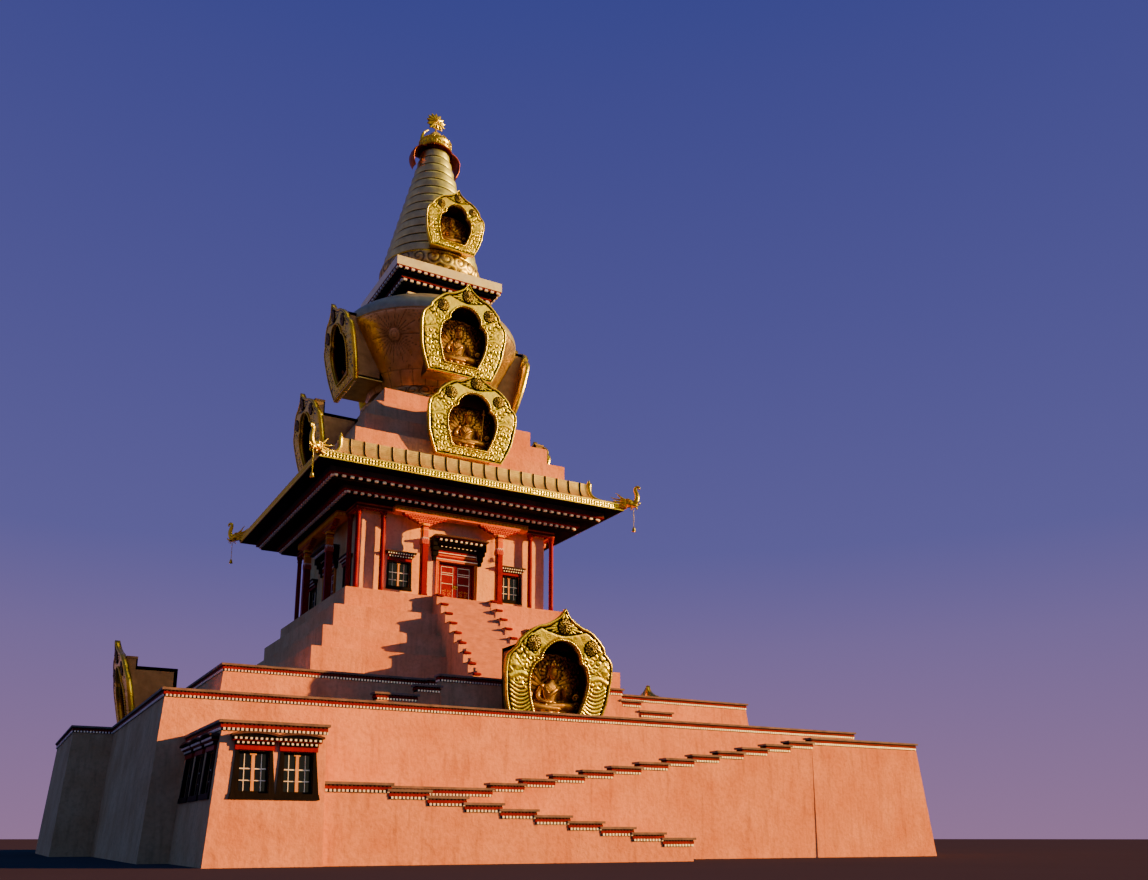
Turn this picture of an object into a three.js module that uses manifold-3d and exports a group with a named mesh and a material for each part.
// A great stupa with a walk-in hall, thirteen gilded niches and two terraces, as a 1:2 scale model.
// Lengths are written in metres of the real building. The group is scaled to millimetres at the end.
// +Z is up and the ground is z = 0. The origin is on the axis of the spire.
// The main stair and the double door face -Y.
import * as THREE from 'three';
import { mergeVertices } from 'three/addons/utils/BufferGeometryUtils.js';
import Module from 'manifold-3d';

const wasm = await Module();
wasm.setup();

// One real metre is 500 mm of the model
const MODEL_MM = 500;
// Joint between two pieces that touch, 0.3 mm in the model
const GAP = 0.0006;

// Lower terrace
const LOWER = { left: 18.28, right: 18.8, front: 20.2, back: 18.65, floor: 5.9, wall: 6.45, top: 6.8,
  parapet: 0.5, batter: 0.085 };
const WING = { left: 20.25, right: 20.75, near: -2.5, far: 10.1 };
// Upper terrace and the landing in front of it
const UPPER = { half: 15.15, floor: 7.9, wall: 8.45, top: 8.77, parapet: 0.45, batter: 0.1 };
const LANDING = { half: 5.24, front: 16.95 };
const COPING_LAP = 0.12;
const SIDE_STAIR = { risers: 10, run: 0.33, back: 15.42 };
// Steps of the side stair's parapet, outwards from the landing: where each one ends and its height
const SIDE_CURBS = [[6.43, 8.19], [8.45, 7.68], [9.14, 7.08]];
// Stepped plinth, from the lowest step up: half width and height of the top
const PLINTH = [[9.71, 11.0], [8.93, 12.34], [8.15, 13.76], [7.32, 15.04]];
const HALL_FLOOR = 15.04;
const MAIN_STAIR = { half: 1.55, balustrade: 0.42, risers: 34, run: 0.222, curbs: 11, lowest: 0.3 };
// Hall
const HALL = { half: 6.15, wall: 0.38, top: 20.42 };
const HALL_WINDOW = { from: 3.05, to: 4.38, sill: 15.66, head: 17.22 };
const DOOR = { half: 1.12, frame: 1.38, head: 17.5, frameTop: 17.92, leaf: 0.08, play: 0.03, axisIn: 0.03,
  pin: 0.022, under: 0.02, meeting: 0.005, proud: 0.08 };
const CLOSED_DOOR_DEPTH = 0.16;
const COLUMN = { line: 6.5, inner: 4.95, radius: 0.15, top: 20.08 };
const POST = { at: 2.5, half: 0.21, line: 7.02 };
const BEAM = { half: 4.45, bottom: 20.02, depth: 0.2, seat: 0.03, lintelHalf: 0.18 };
const BRACKET = { half: 1.5, drop: 0.55, shoulder: 0.75, rise: 0.4, halfDepth: 0.14 };
// Roof, from the soffit up
const SOFFIT = [[7.3, 20.42, 20.69], [7.87, 20.69, 20.99], [8.7, 20.99, 21.16], [9.03, 21.16, 21.54]];
const EAVE = { half: 10, top: 21.97 };
const ROOF = { foot: 9.95, top: 8.3, height: 23.57, sweep: 4 };
// Corner crest in its diagonal plane, as distance from the axis and height
const CREST = [[12.75, 22.4], [13.5, 21.62], [14.3, 21.45], [15.2, 21.6], [15.25, 22.1], [14.75, 22.3],
  [14.72, 23.1], [14.1, 22.75], [13.6, 22.9]];
const CREST_HALF = 0.16;
const BELL = { at: 10.42, pivot: 21.64, mouth: 20.1, radius: 0.13, wall: 0.025, chain: 0.035, eye: 0.3 };
const BELL_SLOT = { reach: 0.16, over: 0.12 };
// Stepped throne, from the lowest step up
const THRONE = [[7.13, 24.93], [6.28, 26.28], [5.43, 27.64], [4.58, 28.99]];
// Niches: distance of the frame from the axis at its foot, height of the foot, height, width scale
const NICHE = {
  base: { foot: 18.78, z: 5.95, height: 6.08, scale: 1, boxTop: 10.35, hoodTop: 10.85 },
  throne: { foot: 7.45, z: 23.98, height: 5.5, scale: 1, boxTop: 27.63, hoodTop: 28.45, back: 5.43 },
  dome: { foot: 5.64, z: 30.3, height: 6.12, scale: 1, boxTop: 35.1, back: 3.9 },
  spire: { foot: 3.8, z: 40.46, height: 4.2, scale: 0.715, boxTop: 43.75, back: 1.6 },
};
const NICHE_LEAN = 0.19;
const NICHE_PLATE = 0.32;
const NICHE_BOX = { half: 1.92, wall: 0.2, lift: 0.3, hood: 0.5 };
// The side and back base niches stand nearer to the axis than the front one
const NICHE_STEP_BACK = 1.75;
// Dome and spire, as radius and height from the axis outwards
const LOTUS_FOOT = [[4.25, 28.99], [4.5, 29.15], [4.5, 29.45], [4.15, 29.8], [4.0, 30.2]];
const DOME = [[4.0, 30.2], [4.4, 31.0], [5.2, 32.6], [5.78, 33.8], [6.12, 34.5], [6.2, 34.95], [6.1, 35.35],
  [5.72, 35.82], [4.9, 36.4], [3.88, 36.9], [2.9, 37.2]];
const HARMIKA = [[2.55, 37.2, 37.62], [3.1, 37.62, 37.86], [3.3, 37.86, 38.1], [3.6, 38.1, 38.42],
  [3.87, 38.42, 39.04]];
const SPIRE_FOOT = [[3.1, 39.04], [3.5, 39.45], [3.64, 39.95], [3.56, 40.35], [3.4, 40.56]];
const SPIRE = { rings: 13, bottom: 40.56, top: 50.38, bottomRadius: 3.42, topRadius: 0.96, groove: 0.12 };
const CANOPY = [[1.0, 50.38], [1.3, 50.48], [1.3, 50.6], [1.1, 50.7]];
// Ear: a broad ribbon that curls down from the canopy on the left and on the right
const EAR = [[1.0, 50.5], [1.5, 50.45], [1.85, 50.05], [1.92, 49.55], [1.7, 49.05], [1.5, 48.75], [1.5, 49.2],
  [1.62, 49.6], [1.5, 49.95], [1.36, 50.1]];
const EAR_WIDTH = 0.5;
const DRUM = [[1.05, 50.7], [1.2, 50.82], [1.1, 50.96], [1.1, 51.22], [1.2, 51.34], [1.12, 51.44],
  [0.78, 51.5], [0.66, 51.85], [0.42, 52.18], [0.14, 52.32]];
// Crescent: two horns that rise from the drum's rim and taper along one circle, angles in degrees
const MOON = { radius: 1.06, thick: 0.15, centre: 51.55, from: 200, to: 122, depth: 0.14, steps: 9 };
const FLAME = [[0.42, 52.75], [0.64, 53.2], [0.66, 53.55], [0.4, 53.75], [0.3, 54.0]];
const FLAME_SIZE = { foot: 52.62, tip: 54.1, half: 0.2, stem: 0.09, sunk: 0.3 };
// Pavilion at the front left corner
const PAVILION = { left: -17.32, right: -13.7, front: -27.16, back: -20.75, floor: 1.6, wall: 4.55, top: 4.9,
  thick: 0.35, batter: 0.085 };
const PAVILION_WINDOW = { width: 1.05, sideWidth: 1.26, sill: 2.45, head: 3.88, frontAt: [-16.72, -15.2],
  sideAt: [-26.7, -24.6, -22.5] };
// Approach: a flight up from the ground to the landing by the pavilion, and a second one to the head block
const OUTER = { to: 2.3, top: 2.91, drop: 0.217, curb: 1.5, wall: 0.4, curbs: 10, firstEnd: -11.24 };
const LOWER_FLIGHT = { top: 2.0, start: -11.2, end: 3.4, risers: 16 };
const INNER = { from: -10.6, first: -5.5, to: 12.5, top: 2.99, rise: 0.228, wall: 0.4, front: -23.6,
  curbs: 12 };
const UPPER_FLIGHT = { bottom: 2.0, start: -5.5, top: 5.1, risers: 24 };
const HEAD = { left: 12.5, right: 19.95, top: 5.95, floor: 5.1, parapet: 0.4, batter: 0.17 };

const COLOURS = {
  plaster: [0xf1ebe0, 0.85, 0], hall: [0xeadfc4, 0.85, 0], coping: [0x9a3a30, 0.7, 0],
  lacquer: [0xa01812, 0.3, 0], ochre: [0xe08a1e, 0.5, 0], soffit: [0x232a4c, 0.6, 0],
  gold: [0xd9a63a, 0.35, 1], goldRoof: [0xc99a3c, 0.4, 1], stone: [0xb9aea0, 0.9, 0],
};

function material(name) {
  const [color, roughness, metalness] = COLOURS[name];
  return new THREE.MeshStandardMaterial({ color, roughness, metalness });
}

// A closed solid from a three.js geometry: vertices merged, slivers dropped, faces turned outwards
function solid(geometry) {
  const bare = geometry.clone();
  bare.deleteAttribute('normal');
  bare.deleteAttribute('uv');
  const merged = mergeVertices(bare, 1e-5);
  const place = merged.attributes.position.array;
  const source = merged.index.array;
  const faces = [];
  let volume = 0;
  for (let i = 0; i < source.length; i += 3) {
    const [a, b, c] = [source[i], source[i + 1], source[i + 2]];
    if (a === b || b === c || c === a) continue;
    faces.push(a, b, c);
    const p = (k) => new THREE.Vector3().fromArray(place, 3 * k);
    volume += p(a).dot(p(b).cross(p(c)));
  }
  if (volume < 0) faces.reverse();
  const triVerts = new Uint32Array(faces);
  return new wasm.Manifold(new wasm.Mesh({ numProp: 3, vertProperties: place, triVerts }));
}

function box(x0, x1, y0, y1, z0, z1) {
  const geometry = new THREE.BoxGeometry(x1 - x0, y1 - y0, z1 - z0);
  return solid(geometry.translate((x0 + x1) / 2, (y0 + y1) / 2, (z0 + z1) / 2));
}

// A flat outline, drawn as [u, v] points, carried from w0 to w1; place turns u, v, w into x, y, z
function prism(points, w0, w1, place) {
  const shape = new THREE.Shape(points.map(([u, v]) => new THREE.Vector2(u, v)));
  const geometry = new THREE.ExtrudeGeometry(shape, { depth: w1 - w0, bevelEnabled: false });
  const p = geometry.attributes.position;
  for (let i = 0; i < p.count; i += 1) p.setXYZ(i, ...place(p.getX(i), p.getY(i), p.getZ(i) + w0));
  return solid(geometry);
}

// Walls through level outlines of the same number of points, closed with a face at each end
function loft(levels) {
  const count = levels[0].points.length;
  const place = levels.flatMap(({ z, points }) => points.flatMap(([x, y]) => [x, y, z]));
  const faces = [];
  for (let k = 0; k + 1 < levels.length; k += 1) {
    for (let i = 0; i < count; i += 1) {
      const [a, b] = [k * count + i, k * count + (i + 1) % count];
      faces.push(a, b, b + count, a, b + count, a + count);
    }
  }
  const flat = (points) => points.map(([x, y]) => new THREE.Vector2(x, y));
  const cap = (points) => THREE.ShapeUtils.triangulateShape(flat(points), []);
  for (const [a, b, c] of cap(levels[0].points)) faces.push(c, b, a);
  const last = (levels.length - 1) * count;
  for (const [a, b, c] of cap(levels.at(-1).points)) faces.push(last + a, last + b, last + c);
  const geometry = new THREE.BufferGeometry();
  geometry.setAttribute('position', new THREE.Float32BufferAttribute(place, 3));
  geometry.setIndex(faces);
  return solid(geometry);
}

// Turned solid: the profile's ends are joined to the axis
function turned(profile, segments) {
  const closed = [[0, profile[0][1]], ...profile, [0, profile.at(-1)[1]]];
  const points = closed.map(([r, z]) => new THREE.Vector2(r, z));
  return solid(new THREE.LatheGeometry(points, segments, Math.PI / segments).rotateX(Math.PI / 2));
}

// Places of an upright prism: one runs through from front to back, the other from left to right
const facing = (u, v, w) => [u, w, v];
const sideways = (u, v, w) => [w, u, v];

const rect = (x0, x1, y0, y1) => [[x0, y0], [x1, y0], [x1, y1], [x0, y1]];
const square = (half) => rect(-half, half, -half, half);

// Moves each side of an outline with square corners, drawn counter-clockwise, out by d
function grown(points, d) {
  return points.map(([x, y], i) => {
    const before = points.at(i - 1);
    const after = points[(i + 1) % points.length];
    const out = [0, 0];
    for (const [a, b] of [[before, [x, y]], [[x, y], after]]) {
      const length = Math.hypot(b[0] - a[0], b[1] - a[1]);
      out[0] += (b[1] - a[1]) / length;
      out[1] -= (b[0] - a[0]) / length;
    }
    return [x + d * out[0], y + d * out[1]];
  });
}

// Turns a solid about the axis of the spire by a number of right angles
const quarter = (body, turns) => body.rotate([0, 0, 90 * turns]);
const SIDES = { front: 0, right: 1, back: 2, left: 3 };

const stupa = new THREE.Group();

function add(name, body, colour) {
  const { vertProperties, triVerts } = body.getMesh();
  const geometry = new THREE.BufferGeometry();
  geometry.setAttribute('position', new THREE.Float32BufferAttribute(vertProperties, 3));
  geometry.setIndex(new THREE.Uint32BufferAttribute(triVerts, 1));
  const mesh = new THREE.Mesh(geometry, material(colour));
  mesh.name = name;
  stupa.add(mesh);
}

// Lower terrace: a battered mass with a wing on each side, a sunk walk and a parapet
const lowerOutline = [
  [-LOWER.left, -LOWER.front], [LOWER.right, -LOWER.front],
  [LOWER.right, WING.near], [WING.right, WING.near], [WING.right, WING.far], [LOWER.right, WING.far],
  [LOWER.right, LOWER.back], [-LOWER.left, LOWER.back],
  [-LOWER.left, WING.far], [-WING.left, WING.far], [-WING.left, WING.near], [-LOWER.left, WING.near],
];
const lowerMass = loft([
  { z: 0, points: grown(lowerOutline, LOWER.batter * LOWER.wall) },
  { z: LOWER.wall, points: lowerOutline },
]);
const lowerWalk = grown(lowerOutline, -LOWER.parapet);
const sink = (points, z0, z1) => loft([{ z: z0, points }, { z: z1, points }]);
add('lower_terrace', lowerMass.subtract(sink(lowerWalk, LOWER.floor, LOWER.top + 1)), 'plaster');
const lowerCoping = sink(grown(lowerOutline, COPING_LAP), LOWER.wall + GAP, LOWER.top)
  .subtract(sink(grown(lowerWalk, -COPING_LAP), LOWER.wall - 1, LOWER.top + 1));
add('lower_terrace_coping', lowerCoping, 'coping');

// Upper terrace, with a landing in the middle of the front and a way out of it on each side
const upperOutline = [
  [-UPPER.half, -UPPER.half], [-LANDING.half, -UPPER.half], [-LANDING.half, -LANDING.front],
  [LANDING.half, -LANDING.front], [LANDING.half, -UPPER.half], [UPPER.half, -UPPER.half],
  [UPPER.half, UPPER.half], [-UPPER.half, UPPER.half],
];
const upperMass = loft([
  { z: LOWER.floor + GAP, points: grown(upperOutline, UPPER.batter * (UPPER.wall - LOWER.floor)) },
  { z: UPPER.wall, points: upperOutline },
]);
const upperWalk = grown(upperOutline, -UPPER.parapet);
const wayFront = -LANDING.front + UPPER.parapet;
const wayBack = -SIDE_STAIR.back;
const ways = box(-LANDING.half - 1, LANDING.half + 1, wayFront, wayBack, UPPER.floor, UPPER.top + 1);
const upperCut = upperMass.subtract(sink(upperWalk, UPPER.floor, UPPER.top + 1)).subtract(ways);
const upperCoping = sink(grown(upperOutline, COPING_LAP), UPPER.wall + GAP, UPPER.top)
  .subtract(sink(grown(upperWalk, -COPING_LAP), UPPER.wall - 1, UPPER.top + 1)).subtract(ways);

// Side stairs from the landing down to the lower walk, each with a stepped parapet on its outer side
function sideStair() {
  const { risers, run } = SIDE_STAIR;
  const rise = (UPPER.floor - LOWER.floor) / risers;
  const start = LANDING.half + GAP;
  const end = start + risers * run;
  const foot = LOWER.floor + GAP;
  const treads = [[start, foot], [end - run, foot]];
  for (let i = 1; i < risers; i += 1) {
    treads.push([end - run * i, LOWER.floor + rise * i], [end - run * (i + 1), LOWER.floor + rise * i]);
  }
  const flight = prism(treads, wayFront - 0.01, wayBack, facing);
  const curbs = [[start, foot]];
  for (const [reach, height] of SIDE_CURBS) curbs.push([curbs.at(-1)[0], height], [reach, height]);
  curbs.push([SIDE_CURBS.at(-1)[0], foot]);
  return flight.add(prism(curbs, -LANDING.front, wayFront, facing));
}
const rightStair = sideStair();
const leftStair = rightStair.mirror([1, 0, 0]);
// Beside the side stairs the landing's own sides are plumb
const { half: landingEdge, front: landingFront } = LANDING;
const beside = box(landingEdge, landingEdge + 1, -landingFront - 1, wayBack, LOWER.floor, UPPER.top + 1);
const upperPlumb = upperCut.subtract(beside).subtract(beside.mirror([1, 0, 0]));
add('upper_terrace', upperPlumb, 'plaster');
const landingSide = box(-10, 10, -landingFront - 1, wayFront + 0.01, 0, UPPER.top + 1);
add('upper_terrace_coping', upperCoping.subtract(landingSide), 'coping');
add('landing_coping', upperCoping.intersect(landingSide), 'coping');
add('side_stair_left', leftStair, 'plaster');
add('side_stair_right', rightStair, 'plaster');

// Plinth of four steps, one mass of masonry
let plinth = null;
let below = UPPER.floor + GAP;
for (const [half, top] of PLINTH) {
  const step = box(-half, half, -half, half, below, top);
  plinth = plinth ? plinth.add(step) : step;
  below = top - 0.01;
}
add('stepped_plinth', plinth, 'plaster');
const grownPlinth = PLINTH.map(([half, top]) => {
  const reach = half + GAP;
  return box(-reach, reach, -reach, reach, UPPER.floor - 1, top + GAP);
});

// Main stair up the front of the plinth, with a balustrade of stepped curbs on each side
function mainStair() {
  const { risers, run } = MAIN_STAIR;
  const rise = (HALL_FLOOR - UPPER.floor) / risers;
  const top = PLINTH.at(-1)[0];
  const foot = -top - risers * run;
  const inside = -top + 0.5;
  const points = [[inside, UPPER.floor + GAP], [foot, UPPER.floor + GAP]];
  for (let i = 0; i < risers; i += 1) {
    const z = UPPER.floor + rise * (i + 1);
    points.push([foot + i * run, z], [foot + (i + 1) * run, z]);
  }
  points.push([inside, HALL_FLOOR]);
  return prism(points, -MAIN_STAIR.half + GAP, MAIN_STAIR.half - GAP, sideways);
}
function balustrade() {
  const { curbs, lowest, risers, run, half } = MAIN_STAIR;
  const top = -PLINTH.at(-1)[0];
  const length = risers * run;
  const drop = (HALL_FLOOR - UPPER.floor - lowest) / (curbs - 1);
  const points = [[top, UPPER.floor + GAP], [top - length, UPPER.floor + GAP]];
  for (let i = 0; i < curbs; i += 1) {
    const z = UPPER.floor + lowest + drop * i;
    points.push([top - length * (1 - i / curbs), z], [top - length * (1 - (i + 1) / curbs), z]);
  }
  return prism(points, half, half + MAIN_STAIR.balustrade, sideways);
}
const cutByPlinth = (body) => grownPlinth.reduce((rest, step) => rest.subtract(step), body);
add('main_stair', cutByPlinth(mainStair()), 'plaster');
add('stair_balustrade_right', cutByPlinth(balustrade()), 'plaster');
add('stair_balustrade_left', cutByPlinth(balustrade().mirror([1, 0, 0])), 'plaster');

// Hall walls with their windows cut through
const hallIn = HALL.half - HALL.wall;
const [wallFoot, wallTop] = [HALL_FLOOR + GAP, HALL.top - GAP];
function hallWindow(side) {
  const [from, to] = side < 0 ? [-HALL_WINDOW.to, -HALL_WINDOW.from] : [HALL_WINDOW.from, HALL_WINDOW.to];
  return box(from, to, -HALL.half - 1, -hallIn + 1, HALL_WINDOW.sill, HALL_WINDOW.head);
}
const frameRoom = DOOR.frame + GAP;
const frontLeft = box(-HALL.half, -frameRoom, -HALL.half, -hallIn, wallFoot, wallTop);
add('hall_front_wall_left', frontLeft.subtract(hallWindow(-1)), 'hall');
const frontRight = box(frameRoom, HALL.half, -HALL.half, -hallIn, wallFoot, wallTop);
add('hall_front_wall_right', frontRight.subtract(hallWindow(1)), 'hall');
const overDoor = box(-DOOR.frame, DOOR.frame, -HALL.half, -hallIn, DOOR.frameTop + GAP, wallTop);
add('hall_wall_over_door', overDoor, 'hall');
const closedLine = -HALL.half + CLOSED_DOOR_DEPTH;
const closedDoor = box(-DOOR.half, DOOR.half, -HALL.half - 1, closedLine, HALL_FLOOR, DOOR.head);
function closedWall(reach) {
  return box(-reach, reach, -HALL.half, -hallIn, wallFoot, wallTop)
    .subtract(hallWindow(-1)).subtract(hallWindow(1)).subtract(closedDoor);
}
add('hall_right_wall', quarter(closedWall(hallIn - GAP), SIDES.right), 'hall');
add('hall_left_wall', quarter(closedWall(hallIn - GAP), SIDES.left), 'hall');
add('hall_back_wall', quarter(closedWall(HALL.half), SIDES.back), 'hall');

// Front door: a frame and two leaves that open inwards on pivot pins
const jamb = DOOR.half + DOOR.play;
const frameHead = DOOR.head + DOOR.under;
const frameLine = [[-DOOR.frame, wallFoot], [-jamb, wallFoot], [-jamb, frameHead], [jamb, frameHead],
  [jamb, wallFoot], [DOOR.frame, wallFoot], [DOOR.frame, DOOR.frameTop], [-DOOR.frame, DOOR.frameTop]];
add('door_frame', prism(frameLine, -HALL.half - DOOR.proud, -hallIn, facing), 'ochre');
const leafLine = -HALL.half + HALL.wall / 2;
function doorLeaf() {
  const [front, back] = [leafLine - DOOR.leaf / 2, leafLine + DOOR.leaf / 2];
  const panel = box(DOOR.meeting, DOOR.half, front, back, HALL_FLOOR + DOOR.under, DOOR.head);
  const pinHeight = frameHead - HALL_FLOOR - 2 * GAP;
  const pin = new THREE.CylinderGeometry(DOOR.pin, DOOR.pin, pinHeight, 8);
  pin.rotateX(Math.PI / 2).translate(DOOR.half - DOOR.axisIn, leafLine, (frameHead + HALL_FLOOR) / 2);
  return panel.add(solid(pin));
}
add('door_leaf_right', doorLeaf(), 'lacquer');
add('door_leaf_left', doorLeaf().mirror([1, 0, 0]), 'lacquer');

// Colonnade of each side: round columns, two square posts with brackets, and the beam that they carry
function column(x, y) {
  const { radius, top } = COLUMN;
  const head = top + 0.01;
  const shaft = new THREE.CylinderGeometry(radius * 0.94, radius, head - wallFoot, 12).rotateX(Math.PI / 2);
  return solid(shaft.translate(x, y, (head + wallFoot) / 2));
}
function colonnade(reach, corners) {
  const line = -COLUMN.line;
  const seat = BEAM.bottom + BEAM.seat;
  let body = box(-reach, reach, line - BEAM.lintelHalf, line + BEAM.lintelHalf, COLUMN.top, wallTop);
  body = body.add(box(-BEAM.half, BEAM.half, -POST.line - BEAM.depth, line, seat - 0.01, wallTop));
  for (const side of [-1, 1]) {
    body = body.add(column(side * COLUMN.inner, line));
    if (corners) body = body.add(column(side * COLUMN.line, line));
    const at = side * POST.at;
    const post = sink(square(POST.half), wallFoot, seat).translate([at, -POST.line, 0]);
    const half = [[POST.half, BEAM.bottom - BRACKET.drop],
      [BRACKET.half * BRACKET.shoulder, BEAM.bottom - BRACKET.drop * BRACKET.rise], [BRACKET.half, seat]];
    const arm = [...half, ...half.map(([u, v]) => [-u, v]).reverse()].map(([u, v]) => [at + u, v]);
    const bracket = prism(arm, -POST.line - BRACKET.halfDepth, -POST.line + BRACKET.halfDepth, facing);
    body = body.add(post).add(bracket);
  }
  return body;
}
const longReach = COLUMN.line + BEAM.lintelHalf;
const shortReach = COLUMN.line - BEAM.lintelHalf - GAP;
add('colonnade_front', colonnade(longReach, true), 'lacquer');
add('colonnade_back', quarter(colonnade(longReach, true), SIDES.back), 'lacquer');
add('colonnade_right', quarter(colonnade(shortReach, false), SIDES.right), 'lacquer');
add('colonnade_left', quarter(colonnade(shortReach, false), SIDES.left), 'lacquer');

// Soffit of inverted steps, the eave and the swept roof with its corner crests
let soffit = null;
for (const [half, bottom, top] of SOFFIT) {
  const tier = box(-half, half, -half, half, bottom, top + 0.01);
  soffit = soffit ? soffit.add(tier) : tier;
}
const soffitTop = SOFFIT.at(-1)[2] + 0.01;
add('soffit', soffit, 'soffit');
add('eave', box(-EAVE.half, EAVE.half, -EAVE.half, EAVE.half, soffitTop + GAP, EAVE.top), 'goldRoof');
// Half width of the roof at a share of its height: the sides sweep in steeply under the throne
const roofHalf = (share) => ROOF.top + (ROOF.foot - ROOF.top) * (1 - share) ** ROOF.sweep;
const roofLevels = [0, 0.12, 0.3, 0.55, 1].map((share) => ({
  z: EAVE.top + GAP + (ROOF.height - GAP - EAVE.top) * share,
  points: square(roofHalf(share)),
}));
// Each crest has a slot from below, whose cheeks hold the bell's eye
const bellOut = BELL.at * Math.SQRT2;
const slotHalf = BELL.chain + GAP;
const slotTop = BELL.pivot + BELL_SLOT.over;
const { reach: slotReach } = BELL_SLOT;
const crest = prism(CREST, -CREST_HALF, CREST_HALF, facing)
  .subtract(box(bellOut - slotReach, bellOut + slotReach, -slotHalf, slotHalf, slotTop - 1, slotTop));
const eaveReach = EAVE.half + GAP;
const eaveRoom = box(-eaveReach, eaveReach, -eaveReach, eaveReach, EAVE.top - 1, EAVE.top + GAP);
let roof = loft(roofLevels);
for (let i = 0; i < 4; i += 1) roof = roof.add(crest.rotate([0, 0, 45 + 90 * i]).subtract(eaveRoom));
add('gold_roof', roof, 'goldRoof');

// Wind bell hanging from each crest on a short chain
function bell() {
  const { chain, radius, wall, mouth, pivot } = BELL;
  const [waist, crown] = [radius * 0.8, radius * 0.62];
  const profile = [[radius, mouth], [waist, mouth + radius * 0.75], [crown, mouth + radius * 1.8],
    [chain, mouth + radius * 2.3], [chain, pivot], [0, pivot], [0, mouth + radius * 2],
    [crown - wall, mouth + radius * 1.65], [waist - wall, mouth + radius * 0.65], [radius - wall, mouth],
    [radius, mouth]];
  const points = profile.map(([r, z]) => new THREE.Vector2(r, z));
  const hung = solid(new THREE.LatheGeometry(points, 12).rotateX(Math.PI / 2));
  const eye = box(-chain, chain, -chain, chain, pivot - BELL.eye, pivot + chain);
  return hung.add(eye).translate([bellOut, 0, 0]);
}
['back_right', 'back_left', 'front_left', 'front_right'].forEach((name, i) => {
  add(`corner_bell_${name}`, bell().rotate([0, 0, 45 + 90 * i]), 'gold');
});

// Niches: a leaning frame with a cusped opening, and a box behind it
const FRAME_OUT = [[2.24, 0], [2.55, 0.7], [2.82, 1.5], [2.95, 2.4], [3.0, 3.0], [2.93, 3.6], [2.6, 3.98],
  [2.3, 4.24], [1.9, 4.65], [1.55, 5.02], [1.15, 5.32], [0.7, 5.46], [0.28, 5.7]];
const FRAME_IN = [[1.17, 0.74], [1.53, 1.8], [1.62, 2.65], [1.45, 3.22], [1.08, 3.5], [1.02, 3.85],
  [0.75, 4.2], [0.36, 4.44]];
const FRAME_TIP = 6.1;
const FRAME_HEAD = 4.5;
const mirrored = (half, tip) => [...half, [0, tip], ...half.map(([u, v]) => [-u, v]).reverse()];
function leaning({ foot, z, height, scale }) {
  const tall = height / FRAME_TIP;
  return (u, v, w) => [u * scale, -foot - w - v * tall * NICHE_LEAN, z + v * tall];
}
// The box behind a frame, as a block: its walls are what stays when an inset block is cut out of it
function nicheBlock({ foot, z, scale, boxTop, hoodTop = boxTop }, back, inset, proud) {
  const front = (level) => -foot - (level - z) * NICHE_LEAN - proud;
  const half = NICHE_BOX.half * scale - inset;
  const low = z + NICHE_BOX.lift * scale + inset;
  const hoodBack = front(boxTop) + proud + NICHE_BOX.hood - inset;
  const line = [[front(low), low], [front(hoodTop - inset), hoodTop - inset]];
  if (hoodTop > boxTop) line.push([hoodBack, hoodTop - inset], [hoodBack, boxTop - inset]);
  line.push([-back - inset, boxTop - inset], [-back - inset, low]);
  return prism(line, -half, half, sideways);
}
function niche(kind, back) {
  const place = leaning(kind);
  const plate = prism(mirrored(FRAME_OUT, FRAME_TIP), 0, NICHE_PLATE, place);
  const opening = prism(mirrored(FRAME_IN, FRAME_HEAD), -0.02, NICHE_PLATE + 0.01, place);
  const behind = prism(rect(-3, 3, -1, FRAME_TIP + 1), -8, 0, place);
  const cavity = nicheBlock(kind, back, NICHE_BOX.wall, 1).intersect(behind);
  return plate.add(nicheBlock(kind, back, 0, 0.1)).subtract(cavity).subtract(opening);
}

// Stepped throne, with the backs of its four niches let into it
let throne = null;
below = ROOF.height + GAP;
for (const [half, top] of THRONE) {
  const step = box(-half, half, -half, half, below, top);
  throne = throne ? throne.add(step) : step;
  below = top - 0.01;
}
function roomFor({ foot, z, scale, boxTop, back }) {
  const half = NICHE_BOX.half * scale + GAP;
  return box(-half, half, -foot - 3, -back + GAP, z + NICHE_BOX.lift * scale - GAP, boxTop + GAP);
}
for (let i = 0; i < 4; i += 1) throne = throne.subtract(quarter(roomFor(NICHE.throne), i));
add('stepped_throne', throne, 'plaster');
for (const [name, turns] of Object.entries(SIDES)) {
  add(`throne_niche_${name}`, quarter(niche(NICHE.throne, NICHE.throne.back), turns), 'gold');
}

// Vase dome on its lotus foot
add('lotus_foot', turned(LOTUS_FOOT.map(([r, z]) => [r, z + GAP]), 32), 'gold');
let dome = turned(DOME.map(([r, z]) => [r, z + 2 * GAP]), 32);
for (let i = 0; i < 4; i += 1) dome = dome.subtract(quarter(roomFor(NICHE.dome), i));
add('dome', dome, 'gold');
for (const [name, turns] of Object.entries(SIDES)) {
  add(`dome_niche_${name}`, quarter(niche(NICHE.dome, NICHE.dome.back), turns), 'gold');
}

// Harmika: a square block of plates between the dome and the spire
let harmika = null;
for (const [half, bottom, top] of HARMIKA) {
  const plate = box(-half, half, -half, half, bottom + 3 * GAP, top + 3 * GAP + 0.005);
  harmika = harmika ? harmika.add(plate) : plate;
}
const harmikaTop = HARMIKA.at(-1)[2] + 3 * GAP + 0.005;
add('harmika', harmika, 'plaster');

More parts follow.
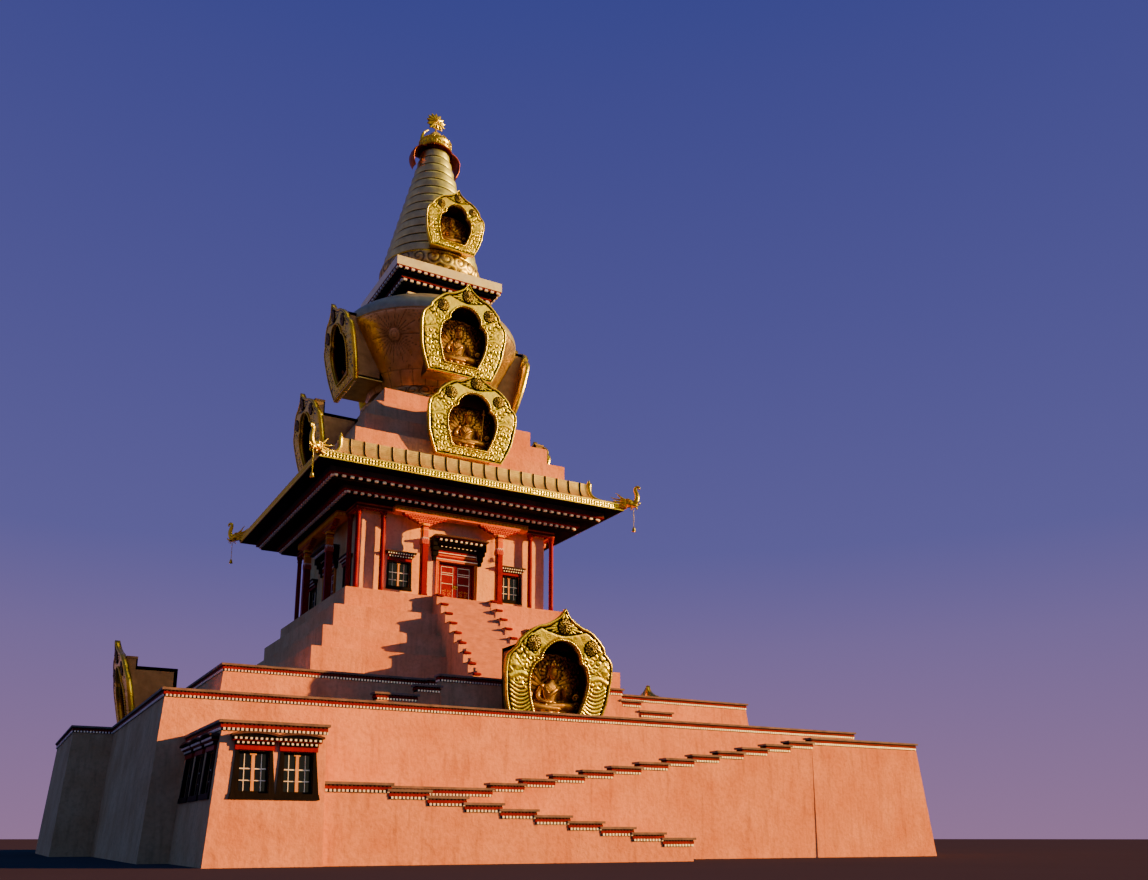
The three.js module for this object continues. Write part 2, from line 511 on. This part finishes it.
// Spire of thirteen rings on a lotus bulge, with one niche on the front
const spireRoom = roomFor(NICHE.spire);
const spireFoot = turned([[3.0, harmikaTop + GAP], ...SPIRE_FOOT.slice(1)], 32);
add('spire_foot', spireFoot.subtract(spireRoom), 'gold');
function spireProfile() {
  const { rings, bottom, top, bottomRadius, topRadius, groove } = SPIRE;
  const height = (top - bottom) / rings;
  const profile = [];
  for (let i = 0; i < rings; i += 1) {
    const share = (i + 0.5) / rings;
    const r = bottomRadius + (topRadius - bottomRadius) * share;
    const z = bottom + GAP + i * height;
    profile.push([r - groove, z], [r + 0.05, z + 0.3 * height], [r + 0.02, z + 0.8 * height]);
  }
  profile.push([topRadius - groove, top]);
  return profile;
}
add('spire_rings', turned(spireProfile(), 24).subtract(spireRoom), 'gold');
add('spire_niche', niche(NICHE.spire, NICHE.spire.back), 'gold');

// Canopy with its ears, crowning drum, horns of the crescent and flame
const canopyFoot = CANOPY[0][1] + GAP;
let canopy = turned([[CANOPY[0][0], canopyFoot], ...CANOPY.slice(1)], 24);
const spireTop = turned([[1.25, SPIRE.top - 3], [1.25, canopyFoot]], 24);
const ear = prism(EAR, -EAR_WIDTH / 2, EAR_WIDTH / 2, facing).subtract(spireTop);
canopy = canopy.add(ear).add(ear.mirror([1, 0, 0]));
add('spire_canopy', canopy, 'gold');
function horn() {
  const { radius, thick, centre, from, to, depth, steps } = MOON;
  const line = [];
  for (let i = 0; i <= 2 * steps; i += 1) {
    const share = 1 - Math.abs(i - steps) / steps;
    const angle = THREE.MathUtils.degToRad(from + (to - from) * share);
    const reach = radius + (i < steps ? 1 : -1) * thick * Math.sqrt(1 - share);
    line.push([reach * Math.cos(angle), centre + reach * Math.sin(angle)]);
  }
  return prism(line, -depth, depth, facing);
}
const drum = turned(DRUM.map(([r, z]) => [r, z + GAP]), 24);
add('crown_drum', drum.add(horn()).add(horn().mirror([1, 0, 0])), 'gold');
const flameLine = [[0, FLAME_SIZE.foot], ...mirrored(FLAME, FLAME_SIZE.tip)];
const stemHalf = FLAME_SIZE.stem;
const stemFoot = DRUM.at(-1)[1] + 2 * GAP;
const stem = box(-stemHalf, stemHalf, -stemHalf, stemHalf, stemFoot, FLAME_SIZE.foot + FLAME_SIZE.sunk);
add('crown_flame', prism(flameLine, -FLAME_SIZE.half, FLAME_SIZE.half, facing).add(stem), 'gold');

// Base niches on the lower walk, against the landing in front and the upper terrace on the other sides
const upperRoom = loft([
  { z: LOWER.floor, points: grown(upperOutline, UPPER.batter * (UPPER.wall - LOWER.floor) + GAP) },
  { z: UPPER.wall + GAP, points: grown(upperOutline, GAP) },
]).add(sink(grown(upperOutline, COPING_LAP + GAP), UPPER.wall, UPPER.top + GAP));
for (const [name, turns] of Object.entries(SIDES)) {
  const front = name === 'front';
  const kind = { ...NICHE.base, foot: NICHE.base.foot - (front ? 0 : NICHE_STEP_BACK) };
  const body = niche(kind, front ? LANDING.front : UPPER.half);
  add(`base_niche_${name}`, (front ? body : quarter(body, turns)).subtract(upperRoom), 'gold');
}

// What stands against the battered front of the lower terrace is cut to its slope
const lowerRoom = loft([
  { z: -GAP, points: grown(lowerOutline, LOWER.batter * LOWER.wall + GAP) },
  { z: LOWER.wall, points: grown(lowerOutline, GAP) },
]);

// Pavilion: a masonry base and four walls with their windows, under a flat roof
const P = PAVILION;
const pavilionOutline = rect(P.left, P.right, P.front, -LOWER.front);
const batterOut = P.batter * P.wall;
const pavilionMass = loft([
  { z: 0, points: rect(P.left - batterOut, P.right, P.front - batterOut, -LOWER.front) },
  { z: P.wall, points: pavilionOutline },
]);
const inner = rect(P.left + P.thick, P.right - P.thick, P.front + P.thick, P.back - P.thick);
let pavilion = pavilionMass.subtract(sink(inner, P.floor, P.wall + 1));
const W = PAVILION_WINDOW;
for (const x of W.frontAt) {
  pavilion = pavilion.subtract(box(x, x + W.width, P.front - 1, P.front + P.thick + 0.1, W.sill, W.head));
}
for (const y of W.sideAt) {
  pavilion = pavilion.subtract(box(P.left - 1, P.left + P.thick + 0.1, y, y + W.sideWidth, W.sill, W.head));
}
add('pavilion', pavilion.subtract(lowerRoom), 'plaster');
const pavilionRoof = rect(P.left - COPING_LAP, P.right, P.front - COPING_LAP, -LOWER.front);
add('pavilion_roof', sink(pavilionRoof, P.wall + GAP, P.top).subtract(lowerRoom), 'coping');

// Approach: parapets and flights
const outerInside = P.front + OUTER.wall;
const innerInside = INNER.front + INNER.wall;
const terraceFace = -LOWER.front;
function stepsDown(points, x0, z0, count, run, drop) {
  for (let i = 0; i < count; i += 1) {
    const z = z0 - drop * (i + 1);
    points.push([x0 + run * i, z], [x0 + run * (i + 1), z]);
  }
}
const flightSide = P.right + GAP;
const landingTop = LOWER_FLIGHT.top;
const lowerLine = [[flightSide, 0], [flightSide, landingTop], [LOWER_FLIGHT.start, landingTop]];
const lowerRun = (LOWER_FLIGHT.end - LOWER_FLIGHT.start) / LOWER_FLIGHT.risers;
const lowerRise = landingTop / LOWER_FLIGHT.risers;
stepsDown(lowerLine, LOWER_FLIGHT.start, landingTop, LOWER_FLIGHT.risers - 1, lowerRun, lowerRise);
lowerLine.push([LOWER_FLIGHT.end - lowerRun, 0]);
const landingBack = box(flightSide, UPPER_FLIGHT.start, INNER.front - 0.01, terraceFace, 0, landingTop)
  .subtract(lowerRoom);
const innerRoom = box(INNER.from - GAP, INNER.to, INNER.front - GAP, innerInside + GAP, -1, INNER.top);
const lowerFlight = prism(lowerLine, outerInside + GAP, INNER.front - GAP, facing).add(landingBack);
add('approach_flight_lower', lowerFlight.subtract(innerRoom), 'stone');
const outerLine = [[flightSide, 0], [OUTER.to, 0]];
const outerCurbs = [];
stepsDown(outerCurbs, OUTER.firstEnd, OUTER.top, OUTER.curbs - 1, OUTER.curb, OUTER.drop);
outerLine.push(...outerCurbs.reverse(), [OUTER.firstEnd, OUTER.top], [flightSide, OUTER.top]);
add('approach_parapet_outer', prism(outerLine, P.front, outerInside, facing), 'plaster');
const innerRun = (INNER.to - INNER.first) / INNER.curbs;
const headSide = INNER.to - GAP;
const innerLine = [[INNER.from, 0], [headSide, 0]];
for (let i = INNER.curbs; i > 0; i -= 1) {
  const z = INNER.top + INNER.rise * i;
  innerLine.push([Math.min(headSide, INNER.first + innerRun * i), z], [INNER.first + innerRun * (i - 1), z]);
}
innerLine.push([INNER.first, INNER.top], [INNER.from, INNER.top]);
add('approach_parapet_inner', prism(innerLine, INNER.front, innerInside, facing), 'plaster');
const upperRun = (INNER.to - UPPER_FLIGHT.start) / UPPER_FLIGHT.risers;
const upperRise = (UPPER_FLIGHT.top - UPPER_FLIGHT.bottom) / UPPER_FLIGHT.risers;
const upperStart = UPPER_FLIGHT.start + GAP;
const upperLine = [[upperStart, 0], [headSide, 0]];
for (let i = UPPER_FLIGHT.risers; i > 0; i -= 1) {
  const z = UPPER_FLIGHT.bottom + upperRise * i;
  const [near, far] = [i - 1, i].map((k) => UPPER_FLIGHT.start + upperRun * k);
  upperLine.push([Math.min(headSide, far), z], [Math.max(upperStart, near), z]);
}
const upperFlight = prism(upperLine, innerInside + GAP, terraceFace, facing);
add('approach_flight_upper', upperFlight.subtract(lowerRoom), 'stone');

// Head block at the top of the approach, a landing behind a parapet
const H = HEAD;
const headFoot = H.batter * H.top;
const headMass = loft([
  { z: 0, points: rect(H.left, H.right + headFoot, INNER.front - 0.05, terraceFace) },
  { z: H.top, points: rect(H.left, H.right, INNER.front, terraceFace) },
]);
const headWalk = box(H.left - 1, H.right - H.parapet, INNER.front + H.parapet, 0, H.floor, H.top + 1);
add('approach_head_block', headMass.subtract(headWalk).subtract(lowerRoom), 'plaster');

stupa.scale.setScalar(MODEL_MM);
export default stupa;
